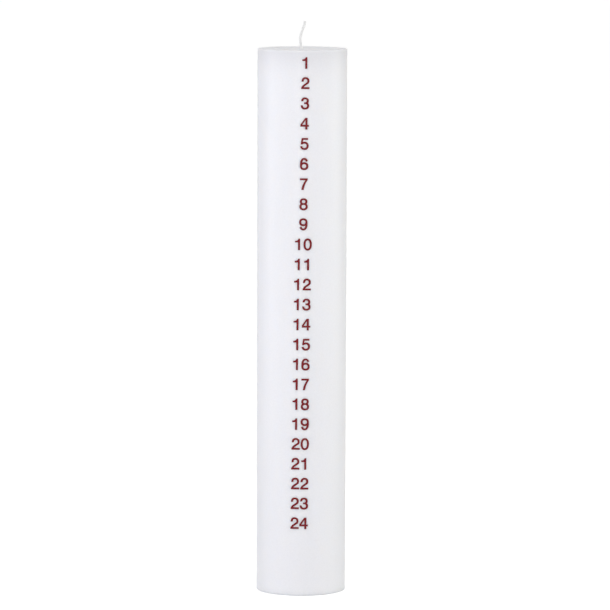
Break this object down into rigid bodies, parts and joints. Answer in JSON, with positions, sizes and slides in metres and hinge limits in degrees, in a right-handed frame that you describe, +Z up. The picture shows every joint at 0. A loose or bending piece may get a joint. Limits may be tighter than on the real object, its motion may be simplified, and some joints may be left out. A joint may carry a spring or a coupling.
{
  "type": "calendar candle",
  "caption": "Tall round pillar candle with day numbers printed down its front, a short curved wick on top and a metal wick clip under its foot.",
  "frame": {"origin": "middle of the foot, on the surface that the candle stands on", "axes": "+Z up along the wick, -Y out of the front, where the day numbers are"},
  "size_m": [0.05, 0.0501, 0.3201],
  "materials": {
    "wax": "satin, slightly translucent white candle wax",
    "ink": "thin dark red print, satin",
    "wick": "braided cotton soaked with white wax",
    "tinplate": "stamped tinned sheet, dull"
  },
  "bodies": {
    "root": {"wax_body": "wax", "wick": "wick", "wick_clip": "tinplate", "numeral_01": "ink", "numeral_02": "ink", "numeral_03": "ink", "numeral_04": "ink", "numeral_05": "ink", "numeral_06": "ink", "numeral_07": "ink", "numeral_08": "ink", "numeral_09": "ink", "numeral_10": "ink", "numeral_11": "ink", "numeral_12": "ink", "numeral_13": "ink", "numeral_14": "ink", "numeral_15": "ink", "numeral_16": "ink", "numeral_17": "ink", "numeral_18": "ink", "numeral_19": "ink", "numeral_20": "ink", "numeral_21": "ink", "numeral_22": "ink", "numeral_23": "ink", "numeral_24": "ink"}
  },
  "joints": []
}
